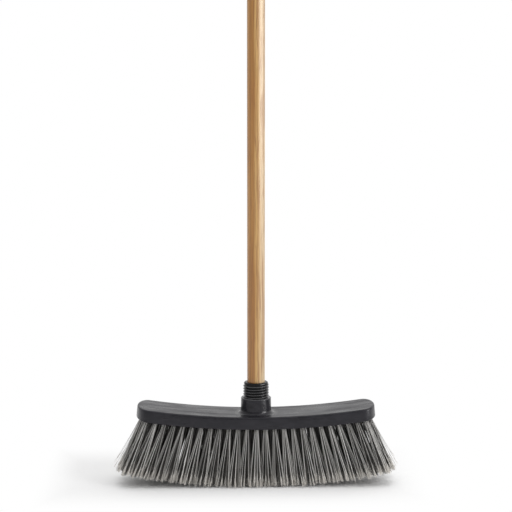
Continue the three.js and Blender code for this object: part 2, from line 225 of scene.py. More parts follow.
# Depth of the fine relief
FIBRE_RELIEF = 0.08
PORE_RELIEF = 0.06
FLOW_RELIEF = 0.45
GRAIN_RELIEF = 0.04
BRUSHED_RELIEF = 0.02

# Socket numbers of a mix node, for colours and for values
MIX_SHARE = 0
MIX_COLOUR_A = 6
MIX_COLOUR_B = 7
MIX_COLOUR_RESULT = 2
MIX_VALUE_A = 2
MIX_VALUE_B = 3
MIX_VALUE_RESULT = 0

# Camera, in metres and degrees, and the image that it is set for, in pixels
CAMERA_DISTANCE = 1.9355
CAMERA_HEIGHT = 0.5666
CAMERA_PITCH = 7.5
CAMERA_SIDE_DEGREES = 1.4
FOCAL_PIXELS = 1448.0
IMAGE_PIXELS = 512.0
SENSOR_WIDTH = 36.0

# Studio, in metres and watts
KEY_PLACE = (1.42, -1.0, 0.85)
KEY_TARGET = (0.0, 0.0, 0.4)
KEY_SIZE = (0.6, 1.6)
KEY_WATTS = 10.0
TOP_PLACE = (0.2, -0.35, 3.2)
TOP_TARGET = (0.0, 0.0, 0.1)
TOP_SIZE = (2.0, 1.4)
TOP_WATTS = 20.0
GLOSS_PLACE = (1.85, -0.75, 0.85)
GLOSS_TARGET = (0.0, 0.0, 0.85)
GLOSS_SIZE = (2.4, 1.2)
GLOSS_WATTS = 48.0
GLINT_PLACE = (1.85, -0.75, 0.56)
GLINT_TARGET = (0.0, 0.0, 0.1)
GLINT_SIZE = (0.8, 1.0)
GLINT_WATTS = 26.0
FRONT_LEVEL = 0.36
BACK_LEVEL = 1.0
OVERHEAD_SHARE = 0.6
REAR_RANGE = (-0.5, 0.6)  # from the dim front to the bright back
LEFT_RANGE = (-0.6, -0.1)  # from the dim left to the rest
LEFT_SHARE = 0.35
FLOOR_HALF = 6.0
FLOOR_FADE_X = (0.21, 0.27)
FLOOR_FADE_Y = (0.053, 0.162)
FLOOR_FADE_CENTRE = (-0.03, 0.03, 0.0)


def corners(node):
    """Lowest and highest corner of a frame node, in millimetres."""
    low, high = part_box(node)
    return np.array(low) / MM, np.array(high) / MM


def metres(lengths):
    """Millimetres as metres."""
    return [length * MM for length in lengths]


pole_low, pole_high = corners("handle_pole")
ferrule_low, ferrule_high = corners("threaded_ferrule")
screw_low, screw_high = corners("ferrule_screw")
block_low, block_high = corners("brush_block")

pole_radius = pole_high[0]
block_half_length = block_high[0]
block_half_depth = block_high[1]
underside = block_low[2]
block_top = underside + BLOCK_THICKNESS
socket_rim = block_high[2]
thread_crest = ferrule_high[0]
thread_root = thread_crest - THREAD_DEPTH
socket_floor = ferrule_low[2] - FERRULE_FIT
socket_radius = thread_crest + THREAD_CLEARANCE + SOCKET_WALL


# Mesh helpers

def make_object(name, points, faces):
    """A mesh object from points in millimetres and faces."""
    mesh = bpy.data.meshes.new(name)
    mesh.from_pydata((np.asarray(points, dtype=float) * MM).tolist(), [], [list(face) for face in faces])
    piece = bpy.data.objects.new(name, mesh)
    bpy.context.scene.collection.objects.link(piece)
    return piece


def finish_mesh(piece):
    """Welds coincident points, turns the faces outwards and shades them smoothly up to the crease angle."""
    work = bmesh.new()
    work.from_mesh(piece.data)
    bmesh.ops.remove_doubles(work, verts=work.verts, dist=WELD * MM)
    bmesh.ops.dissolve_degenerate(work, edges=work.edges, dist=WELD * MM)
    bmesh.ops.recalc_face_normals(work, faces=work.faces)
    crease = math.radians(CREASE_DEGREES)
    for face in work.faces:
        face.smooth = True
    for edge in work.edges:
        edge.smooth = edge.calc_face_angle(0.0) < crease
    work.to_mesh(piece.data)
    work.free()


def grid_faces(rows, columns):
    """The quads of a grid of points kept row by row."""
    faces = []
    for row in range(rows - 1):
        for column in range(columns - 1):
            first = row * columns + column
            faces.append((first, first + 1, first + columns + 1, first + columns))
    return faces


def arc(centre, radius, start_degrees, stop_degrees, steps, stretch=1.0):
    """Points along an arc, both ends included, stretched along its second axis."""
    points = []
    for step in range(steps + 1):
        angle = math.radians(start_degrees + (stop_degrees - start_degrees) * step / steps)
        points.append((centre[0] + radius * math.cos(angle), centre[1] + stretch * radius * math.sin(angle)))
    return points


def eased(profile, radius):
    """A profile with each inner corner rounded by a short curve."""
    points = [profile[0]]
    for before, corner, after in zip(profile, profile[1:], profile[2:]):
        corner = np.array(corner)
        ends = []
        for neighbour in (before, after):
            side = np.array(neighbour) - corner
            length = np.linalg.norm(side)
            ends.append(corner + side * min(radius / length, LARGEST_EASE))
        for step in range(EDGE_STEPS + 1):
            share = step / EDGE_STEPS
            curve = ends[0] * (1 - share) ** 2 + corner * 2 * share * (1 - share) + ends[1] * share ** 2
            points.append(tuple(curve))
    points.append(profile[-1])
    return points


def lathe(profile):
    """Points and faces of a profile of (radius, height) turned once round the vertical axis."""
    points = []
    for radius, height in profile:
        for side in range(ROUND_SIDES + 1):
            angle = 2 * math.pi * side / ROUND_SIDES
            points.append((radius * math.cos(angle), radius * math.sin(angle), height))
    return points, grid_faces(len(profile), ROUND_SIDES + 1)


def joined(*shapes):
    """Several shapes of points and faces as one."""
    points = []
    faces = []
    for shape_points, shape_faces in shapes:
        faces.extend(tuple(corner + len(points) for corner in face) for face in shape_faces)
        points.extend(shape_points)
    return points, faces


def combine(piece, tool, operation):
    """Joins the tool to the piece or cuts the piece by it, and removes the tool."""
    modifier = piece.modifiers.new("combine", "BOOLEAN")
    modifier.operation = operation
    modifier.solver = "EXACT"
    modifier.object = tool
    bpy.context.view_layer.update()
    evaluated = piece.evaluated_get(bpy.context.evaluated_depsgraph_get())
    result = bpy.data.meshes.new_from_object(evaluated)
    piece.modifiers.clear()
    piece.data = result
    bpy.data.objects.remove(tool)


def smooth_step(value):
    """Eases from 0 to 1."""
    share = min(max(value, 0.0), 1.0)
    return share * share * (3 - 2 * share)


# Materials

class Nodes:
    """A node tree, with short calls that add nodes and join them."""

    def __init__(self, tree):
        self.tree = tree

    def feed(self, socket, value):
        """Links a socket to another, or sets its value; a colour that is set is opaque."""
        if isinstance(value, bpy.types.NodeSocket):
            self.tree.links.new(value, socket)
        elif socket.type == "RGBA":
            socket.default_value = (*value, 1.0)
        else:
            socket.default_value = value

    def add(self, kind, inputs=None, **settings):
        """A new node with its settings and inputs."""
        node = self.tree.nodes.new(kind)
        for name, value in settings.items():
            setattr(node, name, value)
        for name, value in (inputs or {}).items():
            self.feed(node.inputs[name], value)
        return node

    def calculate(self, operation, first, second):
        """The result of an operation on two values."""
        return self.add("ShaderNodeMath", {0: first, 1: second}, operation=operation).outputs[0]

    def span(self, value, source, target=(0.0, 1.0), interpolation="LINEAR"):
        """A value moved from one range to another."""
        inputs = {
            "Value": value,
            "From Min": source[0],
            "From Max": source[1],
            "To Min": target[0],
            "To Max": target[1],
        }
        return self.add("ShaderNodeMapRange", inputs, interpolation_type=interpolation).outputs["Result"]


class Surface(Nodes):
    """The nodes of a material, with the colours and patterns that materials are made of."""

    def __init__(self, name):
        self.material = bpy.data.materials.new(name)
        self.material.use_nodes = True
        super().__init__(self.material.node_tree)
        self.shader = self.tree.nodes["Principled BSDF"]
        self.place = self.add("ShaderNodeTexCoord").outputs["Object"]

    def finish(self, **inputs):
        """Sets the shader's inputs, whose names have spaces for underscores, and gives the material."""
        for name, value in inputs.items():
            self.feed(self.shader.inputs[name.replace("_", " ")], value)
        return self.material

    def axis(self, name):
        """One of the object coordinates, in metres."""
        return self.add("ShaderNodeSeparateXYZ", {"Vector": self.place}).outputs[name]

    def from_axis(self):
        """Distance from the pole's axis, in metres."""
        flat = self.add("ShaderNodeVectorMath", {0: self.place, 1: (1.0, 1.0, 0.0)}, operation="MULTIPLY")
        return self.add("ShaderNodeVectorMath", {0: flat.outputs[0]}, operation="LENGTH").outputs["Value"]

    def stretched(self, per_metre, turn_degrees=0.0):
        """Object coordinates scaled along each axis, turned about the vertical first."""
        turned = self.place
        if turn_degrees:
            turn = {"Vector": self.place, "Rotation": (0.0, 0.0, math.radians(turn_degrees))}
            turned = self.add("ShaderNodeMapping", turn).outputs["Vector"]
        return self.add("ShaderNodeMapping", {"Vector": turned, "Scale": per_metre}).outputs["Vector"]

    def noise(self, per_metre, detail=4.0, roughness=0.55, distortion=0.0):
        """Noise with so many cycles a metre along each axis."""
        inputs = {
            "Vector": self.stretched(per_metre),
            "Scale": 1.0,
            "Detail": detail,
            "Roughness": roughness,
            "Distortion": distortion,
        }
        return self.add("ShaderNodeTexNoise", inputs).outputs[0]

    def attribute(self, name):
        """A value kept on the mesh's points."""
        return self.add("ShaderNodeAttribute", attribute_name=name).outputs["Fac"]

    def ramp(self, value, places, colours):
        """Colours at places from 0 to 1."""
        node = self.add("ShaderNodeValToRGB", {"Fac": value})
        elements = node.color_ramp.elements
        elements.remove(elements[-1])
        elements[0].position = places[0]
        elements[0].color = (*colours[0], 1.0)
        for place, colour in zip(places[1:], colours[1:]):
            elements.new(place).color = (*colour, 1.0)
        return node.outputs["Color"]

    def mix(self, share, first, second):
        """Two colours mixed."""
        inputs = {MIX_SHARE: share, MIX_COLOUR_A: first, MIX_COLOUR_B: second}
        return self.add("ShaderNodeMix", inputs, data_type="RGBA").outputs[MIX_COLOUR_RESULT]

    def blend(self, share, first, second):
        """Two values mixed."""
        inputs = {MIX_SHARE: share, MIX_VALUE_A: first, MIX_VALUE_B: second}
        return self.add("ShaderNodeMix", inputs, data_type="FLOAT").outputs[MIX_VALUE_RESULT]

    def tint(self, base, value, onset, strength, colour):
        """A colour laid over another, growing to its strength as the value passes through the onset."""
        return self.mix(self.span(value, onset, (0.0, strength)), base, colour)

    def bump(self, height, depth, normal=None):
        """Relief of so many millimetres, on top of another relief if one is given."""
        inputs = {"Height": height, "Distance": depth * MM, "Strength": 1.0}
        if normal:
            inputs["Normal"] = normal
        return self.add("ShaderNodeBump", inputs).outputs["Normal"]


def wood_material():
    """Straight-grained honey wood under a thin clear lacquer, darker on the pole's left, with a pale strip
    on its right that is a painted highlight.
    """
    wood = Surface("lacquered_wood")
    drift = wood.noise(per_metre=(70, 70, 5), detail=2.0)
    fibre = wood.noise(per_metre=(420, 420, 14), detail=5.0, distortion=0.5)
    pores = wood.noise(per_metre=(800, 800, 24), detail=3.0)
    bands = {
        "Vector": wood.stretched(per_metre=(1.0, 1.0, 0.15), turn_degrees=28),
        "Scale": 62.0,
        "Distortion": 5.0,
        "Detail": 3.0,
        "Detail Scale": 1.2,
    }
    rings = wood.add("ShaderNodeTexWave", bands, wave_type="BANDS", bands_direction="X").outputs["Fac"]
    waver = wood.span(drift, NOISE_RANGE, metres(GRAIN_WAVER))
    across = wood.calculate("ADD", wood.axis("X"), waver)
    darker_side = wood.ramp(drift, WOOD_PLACES, DARKER_SIDE_WOOD)
    lighter_side = wood.ramp(drift, WOOD_PLACES, LIGHTER_SIDE_WOOD)
    # Darker on the pole's left, lighter on its right
    ground = wood.tint(darker_side, across, onset=metres(LIGHTER_SIDE_EDGE), strength=1.0, colour=lighter_side)
    # Painted highlight: a pale strip on the pole's right
    painted_highlight = wood.tint(ground, across, onset=metres(PAINTED_HIGHLIGHT_EDGE), strength=0.85, colour=PAINTED_HIGHLIGHT_WOOD)
    ringed = wood.tint(painted_highlight, rings, onset=(0.55, 1.0), strength=0.55, colour=RING_BROWN)
    streaked = wood.tint(ringed, fibre, onset=(0.52, 0.64), strength=0.7, colour=FIBRE_BROWN)
    pored = wood.tint(streaked, pores, onset=(0.58, 0.72), strength=0.55, colour=PORE_BROWN)
    return wood.finish(
        Base_Color=pored,
        Roughness=wood.span(fibre, NOISE_RANGE, WOOD_ROUGHNESS),
        Normal=wood.bump(pores, PORE_RELIEF, wood.bump(fibre, FIBRE_RELIEF)),
        Coat_Weight=1.0,
        Coat_IOR=1.55,
        Coat_Roughness=0.35,
        Specular_IOR_Level=0.1,
    )


def block_material():
    """Satin black plastic with the flow lines of the moulding along the block, polished round the socket and
    with a painted highlight along its rim.
    """
    plastic = Surface("block_plastic")
    flow = plastic.noise(per_metre=(14, 95, 95), detail=6.0, roughness=0.62, distortion=0.3)
    cloud = plastic.noise(per_metre=(22, 60, 60), detail=3.0)
    grain = plastic.noise(per_metre=(1100, 1100, 1100), detail=2.0)
    smudge = plastic.noise(per_metre=(60, 60, 170), distortion=0.6)
    tone = plastic.ramp(flow, NOISE_RANGE, BLOCK_BLACKS)
    smudged = plastic.tint(tone, smudge, onset=(0.45, 0.65), strength=0.6, colour=SMUDGE_GREY)
    clouded = plastic.tint(smudged, cloud, onset=(0.35, 0.7), strength=0.5, colour=CLOUD_BLACK)
    # Painted highlight: a lighter grey band along the top of the socket's rim
    rim = metres(socket_rim + height for height in RIM_HIGHLIGHT_BAND)
    rim_highlit = plastic.tint(clouded, plastic.axis("Z"), onset=rim, strength=1.0, colour=RIM_HIGHLIGHT_GREY)
    satin = plastic.span(flow, NOISE_RANGE, BLOCK_ROUGHNESS)
    polish = plastic.span(plastic.from_axis(), metres(POLISH_EDGE))
    return plastic.finish(
        Base_Color=rim_highlit,
        Roughness=plastic.blend(polish, satin, POLISH_ROUGHNESS),
        Specular_IOR_Level=0.28,
        Normal=plastic.bump(grain, GRAIN_RELIEF, plastic.bump(flow, FLOW_RELIEF)),
    )


def ferrule_material():
    """Black plastic, a little glossier than the block, with a fine moulded grain and rubbed crests that also
    carry a painted highlight.
    """
    plastic = Surface("ferrule_plastic")
    grain = plastic.noise(per_metre=(900, 900, 900), detail=3.0)
    cloud = plastic.noise(per_metre=(90, 90, 140), detail=3.0)
    tone = plastic.ramp(cloud, NOISE_RANGE, FERRULE_BLACKS)
    depth = plastic.span(plastic.from_axis(), metres((thread_root, thread_crest)))
    # Rubbed wear with a painted highlight: the crests are lighter and coated against the dark valleys
    paled_share = plastic.span(depth, CREST_WEAR_AND_HIGHLIGHT)
    return plastic.finish(
        Base_Color=plastic.mix(paled_share, tone, CREST_WEAR_AND_HIGHLIGHT_GREY),
        Roughness=plastic.span(cloud, NOISE_RANGE, FERRULE_ROUGHNESS),
        Specular_IOR_Level=0.2,
        Coat_Weight=paled_share,
        Coat_IOR=1.6,
        Coat_Roughness=0.25,
        Normal=plastic.bump(grain, GRAIN_RELIEF),
    )


def bristle_material():
    """Warm grey filament, each with its own tone, with painted shade deep inside the brush and paler at the
    split tips.
    """
    bristle = Surface("bristle_filament")
    tone = bristle.attribute("tone")
    along = bristle.attribute("along")
    shade = bristle.attribute("shade")
    speck = bristle.noise(per_metre=(260, 260, 60), detail=3.0)
    body = bristle.ramp(tone, BRISTLE_PLACES, BRISTLE_GREYS)
    specked = bristle.tint(body, speck, onset=(0.4, 0.75), strength=0.35, colour=SPECK_GREY)
    # Painted shade: the inner tufts darken towards their roots
    shaded_colour = bristle.mix(shade, BLACK, specked)
    # Paler towards the split tips, more so on the paler filaments
    tip = bristle.span(along, TIP_PALING)
    paled_share = bristle.calculate("MULTIPLY", tip, bristle.span(tone, PALE_TONE, TIP_PALING_SHARE))
    return bristle.finish(
        Base_Color=bristle.mix(paled_share, shaded_colour, TIP_CREAM),
        Roughness=bristle.span(tone, (0.0, 1.0), BRISTLE_ROUGHNESS),
        Specular_IOR_Level=0.35,
    )


def steel_material(name, colours, per_metre):
    """Plated or drawn steel with a fine brushed grain."""
    steel = Surface(name)
    brushed = steel.noise(per_metre)
    return steel.finish(
        Base_Color=steel.ramp(brushed, NOISE_RANGE, colours),
        Roughness=steel.span(brushed, NOISE_RANGE, STEEL_ROUGHNESS),
        Normal=steel.bump(brushed, BRUSHED_RELIEF),
        Metallic=1.0,
    )


def dress(piece, material, body, slot, *nodes):
    """Gives a piece its material, its body and the nodes that it stands for; its slot is not used."""
    piece.data.materials.clear()
    piece.data.materials.append(material)
    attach(piece, body)
    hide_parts(*nodes)


# Pole

def make_pole():
    """The round pole with a domed top, a bevelled foot and the pilot hole of its screw."""
    pilot_radius = SCREW_SHANK_RADIUS + PILOT_CLEARANCE
    pilot_top = screw_high[2] + PILOT_CLEARANCE
    foot = pole_low[2]
    shoulder = pole_high[2] - POLE_CROWN
    profile = [(0.0, pilot_top), (pilot_radius, pilot_top), (pilot_radius, foot)]
    profile += arc((pole_radius - POLE_END_BEVEL, foot + POLE_END_BEVEL), POLE_END_BEVEL, -90, 0, EDGE_STEPS)
    rings = int((shoulder - foot) / POLE_RING_STEP)
    for ring in range(1, rings):
        profile.append((pole_radius, foot + (shoulder - foot) * ring / rings))
    profile += arc((pole_radius - POLE_CROWN, shoulder), POLE_CROWN, 0, 90, FILLET_STEPS)
    profile.append((0.0, pole_high[2]))
    pole = make_object("pole", *lathe(profile))
    finish_mesh(pole)
    return pole


# Thread

def thread_skin(root, low, high, start, stop):
    """A wall with a right-hand thread between start and stop, from height low to height high."""
    columns = ROUND_SIDES + 1
    runout = THREAD_PITCH * THREAD_RUNOUT_TURNS
    first_turn = math.floor((low - socket_floor) / THREAD_PITCH) - 1
    last_turn = math.ceil((high - socket_floor) / THREAD_PITCH) + 1
    rows = range(first_turn * THREAD_ROWS, last_turn * THREAD_ROWS + 1)
    points = []
    for row in rows:
        turn = row / THREAD_ROWS
        from_crest = abs(turn - round(turn)) * THREAD_PITCH
        ridge = smooth_step(1 - (from_crest - THREAD_CREST_FLAT / 2) / THREAD_FLANK_RUN)
        for column in range(columns):
            angle = 2 * math.pi * column / ROUND_SIDES
            height = socket_floor + (turn + column / ROUND_SIDES) * THREAD_PITCH
            crest_height = socket_floor + (round(turn) + column / ROUND_SIDES) * THREAD_PITCH
            rising = smooth_step((crest_height - start) / runout)
            falling = smooth_step((stop - crest_height) / runout)
            radius = root
            if low < height < high:
                radius += THREAD_DEPTH * ridge * rising * falling
            level = min(max(height, low), high)
            points.append((radius * math.cos(angle), radius * math.sin(angle), level))
    return points, grid_faces(len(rows), columns)


def make_ferrule():
    """The cup on the pole's end: male thread, plain collar, bore, screw hole and recess."""
    bottom = ferrule_low[2]
    top = ferrule_high[2]
    bore = thread_root - FERRULE_WALL
    collar = thread_root + FERRULE_COLLAR_STEP
    floor = pole_low[2] - FERRULE_FIT
    skin_low = bottom + THREAD_LEAD_IN / 2
    skin_high = top - FERRULE_COLLAR_HEIGHT
    recess_radius = screw_high[0] + FERRULE_FIT
    recess_top = screw_low[2] + SCREW_HEAD_HEIGHT + FERRULE_FIT
    hole_radius = SCREW_SHANK_RADIUS + FERRULE_FIT
    rim = arc((collar - FERRULE_TOP_RADIUS, top - FERRULE_TOP_RADIUS), FERRULE_TOP_RADIUS, 0, 90, EDGE_STEPS)
    shoulder = [(thread_root, skin_high), (collar, skin_high + FERRULE_COLLAR_STEP), rim[0]]
    inside = [
        rim[-1],
        (bore, top),
        (bore, floor),
        (hole_radius, floor),
        (hole_radius, recess_top),
        (recess_radius, recess_top),
        (recess_radius, bottom),
        (thread_root - THREAD_LEAD_IN / 2, bottom),
        (thread_root, skin_low),
    ]
    profile = eased(shoulder, FERRULE_EDGE_RADIUS) + rim[1:-1] + eased(inside, FERRULE_EDGE_RADIUS)
    skin = thread_skin(thread_root, skin_low, skin_high, bottom + THREAD_LEAD_IN, skin_high)
    ferrule = make_object("ferrule", *joined(skin, lathe(profile)))
    finish_mesh(ferrule)
    return ferrule


# Block

def end_rise(x):
    """How far the block curves up at a distance from its middle."""
    return BLOCK_END_RISE * (x / block_half_length) ** 2


def half_outline(inset):
    """Points along the front half of the block's outline, from the left end to the right end."""
    half_depth = block_half_depth - inset
    bow = BLOCK_BOW - inset
    side = block_half_length - BLOCK_BOW
    points = arc((-side, 0.0), bow, 180, 270, BOW_STEPS, half_depth / bow)
    points += [(-side + 2 * side * step / LENGTH_STEPS, -half_depth) for step in range(1, LENGTH_STEPS)]
    points += arc((side, 0.0), bow, 270, 360, BOW_STEPS, half_depth / bow)
    return points


def make_slab():
    """The block's slab: sides with draft, bowed ends that curve up, and a round top edge."""
    radius = BLOCK_TOP_EDGE_RADIUS
    lower = BLOCK_LOWER_EDGE_RADIUS
    profile = [(lower * LOWER_FACE_INSET, underside)]
    profile += arc((lower, underside + lower), lower, 270, 180, EDGE_STEPS)
    profile.append((BLOCK_DRAFT, block_top - radius))
    profile += arc((BLOCK_DRAFT + radius, block_top - radius), radius, 180, 90, FILLET_STEPS)[1:]
    profile.append((BLOCK_DRAFT + radius * TOP_FACE_INSET, block_top))
    points = []
    for inset, height in profile:
        front = half_outline(inset)
        back = [(x, -y) for x, y in reversed(front[1:-1])]
        for x, y in front + back:
            points.append((x, y, height + end_rise(x)))
    count = len(half_outline(0.0))
    ring = 2 * count - 2
    faces = []
    for level in range(len(profile) - 1):
        below = level * ring
        above = below + ring
        for corner in range(ring):
            following = (corner + 1) % ring
            faces.append((below + corner, below + following, above + following, above + corner))
    for level in (0, len(profile) - 1):
        first = level * ring
        for corner in range(count - 1):
            across = ring - corner
            strip = (corner, corner + 1, across - 1, across % ring)
            faces.append([first + point for point in dict.fromkeys(strip)])
    slab = make_object("block", points, faces)
    finish_mesh(slab)
    return slab


def make_socket():
    """The solid socket on the block, with a flared foot on a low step."""
    foot_radius = socket_radius + SOCKET_DRAFT
    step_top = block_top + SOCKET_FOOT_STEP
    fillet_centre = (foot_radius + SOCKET_FOOT_FILLET, step_top + SOCKET_FOOT_FILLET)
    rim_centre = (socket_radius - SOCKET_RIM_RADIUS, socket_rim - SOCKET_RIM_RADIUS)
    buried = block_top - SOCKET_BURIAL
    profile = [(0.0, buried), (fillet_centre[0], buried), (fillet_centre[0], block_top)]
    profile += arc(fillet_centre, SOCKET_FOOT_FILLET, 270, 180, FILLET_STEPS)
    profile += arc(rim_centre, SOCKET_RIM_RADIUS, 0, 90, EDGE_STEPS)
    profile.append((0.0, socket_rim))
    socket = make_object("socket", *lathe(profile))
    finish_mesh(socket)
    return socket


def make_socket_plug():
    """The room inside the socket: its bore with the female thread."""
    root = thread_root + THREAD_CLEARANCE
    top = socket_rim + CUT_MARGIN
    skin = thread_skin(root, socket_floor, top, socket_floor, top + THREAD_PITCH)
    lid = lathe([(0.0, top), (root, top)])
    base = lathe([(0.0, socket_floor), (root, socket_floor)])
    plug = make_object("plug", *joined(skin, lid, base))
    finish_mesh(plug)
    return plug


# Tufts

def fan_tilt(x):
    """How far a tuft leans outwards, in radians, easing towards the ends."""
    ease = math.radians(FAN_EASE_DEGREES)
    share = math.sin(ease * x / block_half_length) / math.sin(ease)
    return math.radians(END_TILT_DEGREES) * share


def side_limit(x):
    """How far from the middle line a tuft may stand at x, inside the bowed ends."""
    inset = BACKING_INSET + TUFT_EDGE_MARGIN + TUFT_DIAMETER / 2
    into_bow = max(abs(x) - block_half_length + BLOCK_BOW, 0.0)
    return (block_half_depth - inset) * math.sqrt(1 - (into_bow / (BLOCK_BOW - inset)) ** 2)


def row_middle(row):
    """How far back a row of tufts stands, by its anchors in the frame."""
    low, high = corners(f"anchor_row_{row}")
    return (low[1] + high[1]) / 2


def tuft_sites(row):
    """Root and tip of each tuft in a row of the frame, numbered from 1 at the front."""
    row_y = row_middle(row)
    outer_y = abs(row_middle(1))
    end_x = block_half_length - BACKING_INSET - TUFT_END_MARGIN - TUFT_DIAMETER / 2
    pitch = 2 * end_x / (LONG_ROW_TUFTS - 1)
    count = LONG_ROW_TUFTS - row % 2
    sites = []
    for index in range(count):
        x = pitch * (index - (count - 1) / 2)
        limit = side_limit(x)
        y = min(max(row_y, -limit), limit)
        tilt = fan_tilt(x)
        splay = math.radians(SIDE_SPLAY_DEGREES) * y / outer_y
        root_height = underside + end_rise(x)
        lift = END_TIP_LIFT * (x / block_half_length) ** END_LIFT_POWER
        tip_x = x + BRISTLE_LENGTH * math.sin(tilt)
        tip_y = y + BRISTLE_LENGTH * math.sin(splay)
        tip_height = max(0.0, root_height - BRISTLE_LENGTH * math.cos(tilt) - TIP_SETTLE) + lift
        sites.append((np.array([x, y, root_height]), np.array([tip_x, tip_y, tip_height])))
    return sites


def make_hole_cutter():
    """Every tuft's hole in the block's underside, along the tuft's axis, as one cutter."""
    radius = TUFT_DIAMETER / 2 + HOLE_CLEARANCE
    angles = np.arange(HOLE_SIDES) * 2 * math.pi / HOLE_SIDES
    circle = np.stack([np.cos(angles), np.sin(angles), np.zeros(HOLE_SIDES)], axis=1) * radius
    points = []
    faces = []
    for row in range(1, ROW_COUNT + 1):
        for root, tip in tuft_sites(row):
            axis = (tip - root) / np.linalg.norm(tip - root)
            first = len(points)
            points.extend(root - axis * HOLE_DEPTH + circle)
            points.extend(root + axis * CUT_MARGIN + circle)
            top = list(range(first, first + HOLE_SIDES))
            bottom = list(range(first + HOLE_SIDES, first + 2 * HOLE_SIDES))
            faces.append(top)
            faces.append(bottom[::-1])
            for side in range(HOLE_SIDES):
                following = (side + 1) % HOLE_SIDES
                faces.append((bottom[side], bottom[following], top[following], top[side]))
    return make_object("holes", points, faces)


def make_block():
    """The one-piece moulding: slab, socket, threaded bore and tuft holes."""
    block = make_slab()
    combine(block, make_socket(), "UNION")
    combine(block, make_socket_plug(), "DIFFERENCE")
    combine(block, make_hole_cutter(), "DIFFERENCE")
    finish_mesh(block)
    return block


def make_staples(row):
    """The flat-wire staples that pinch the tufts of a row at the bottom of their holes."""
    low, high = corners(f"anchor_row_{row}")
    size = np.array([STAPLE_LENGTH, high[1] - low[1], STAPLE_HEIGHT])
    work = bmesh.new()
    bmesh.ops.create_cube(work, size=1.0)
    bmesh.ops.scale(work, vec=Vector(size), verts=work.verts)
    bmesh.ops.bevel(work, geom=work.edges, offset=STAPLE_EDGE, segments=STAPLE_EDGE_STEPS, affect="EDGES")
    work.verts.index_update()
    template = np.array([vertex.co for vertex in work.verts])
    template_faces = [[vertex.index for vertex in face.verts] for face in work.faces]
    work.free()
    points = []
    faces = []
    for root, tip in tuft_sites(row):
        axis = (tip - root) / np.linalg.norm(tip - root)
        centre = root - axis * (HOLE_DEPTH - STAPLE_HEIGHT / 2 - STAPLE_EDGE)
        faces.extend([corner + len(points) for corner in face] for face in template_faces)
        points.extend(template + centre)
    return make_object(f"staples_row_{row}", points, faces)


# Filaments

def tubes(paths, radii, random):
    """Points and triangles of thin tubes along paths of shape (tubes, steps, 3), closed at both ends."""
    count, steps, _ = paths.shape
    along = np.gradient(paths, axis=1)
    along /= np.linalg.norm(along, axis=2, keepdims=True)
    across = np.cross(along, np.array([0.0, 1.0, 0.0]))
    across /= np.linalg.norm(across, axis=2, keepdims=True)
    beside = np.cross(along, across)
    turn = random.uniform(0, 2 * math.pi, (count, 1, 1))
    rings = []
    for side in range(FILAMENT_SIDES):
        angle = turn + 2 * math.pi * side / FILAMENT_SIDES
        rings.append(paths + radii[None, :, None] * (np.cos(angle) * across + np.sin(angle) * beside))
    points = np.stack(rings, axis=2).reshape(-1, 3)
    last = (steps - 1) * FILAMENT_SIDES
    pattern = [(2, 1, 0), (last, last + 1, last + 2)]
    for step in range(steps - 1):
        for side in range(FILAMENT_SIDES):
            low = step * FILAMENT_SIDES + side
            beyond = step * FILAMENT_SIDES + (side + 1) % FILAMENT_SIDES
            pattern.append((low, beyond, beyond + FILAMENT_SIDES))
            pattern.append((low, beyond + FILAMENT_SIDES, low + FILAMENT_SIDES))
    starts = np.arange(count)[:, None, None] * steps * FILAMENT_SIDES
    return points, (starts + np.array(pattern)[None]).reshape(-1, 3)


def lock_layout(outside, random):
    """Where one tuft's locks stand about its axis and where they end, with the tone and the trim of each."""
    skin, core = OUTER_LOCKS if outside else INNER_LOCKS
    locks = skin + core
    skin_angle = (np.arange(skin) + random.uniform(-SKIN_JITTER, SKIN_JITTER, skin)) * 2 * math.pi / skin
    core_angle = random.uniform(0, 2 * math.pi, core)
    angle = np.concatenate([skin_angle + random.uniform(0, 2 * math.pi), core_angle])
    skin_out = random.uniform(*SKIN_REACH, skin)
    core_out = CORE_REACH * np.sqrt(random.uniform(0, 1, core))
    out = np.concatenate([skin_out, core_out])
    direction = np.stack([np.cos(angle) * out, np.sin(angle) * out], axis=1)
    tip = direction * LOCK_TIP_SPREAD + random.normal(0, LOCK_WANDER, (locks, 2))
    tip += random.normal(0, TUFT_WANDER, 2)
    # Painted shade: the core locks are dark and the inner tufts' tones are lowered
    tone = np.repeat([SKIN_TONE, SHADED_CORE_TONE], [skin, core]) + random.normal(0, LOCK_TONE_SCATTER, locks)
    if not outside:
        tone *= SHADED_INNER_TONE_SHARE
    trim = np.abs(random.normal(0, TRIM_SCATTER, locks))
    return direction, tip, tone, trim


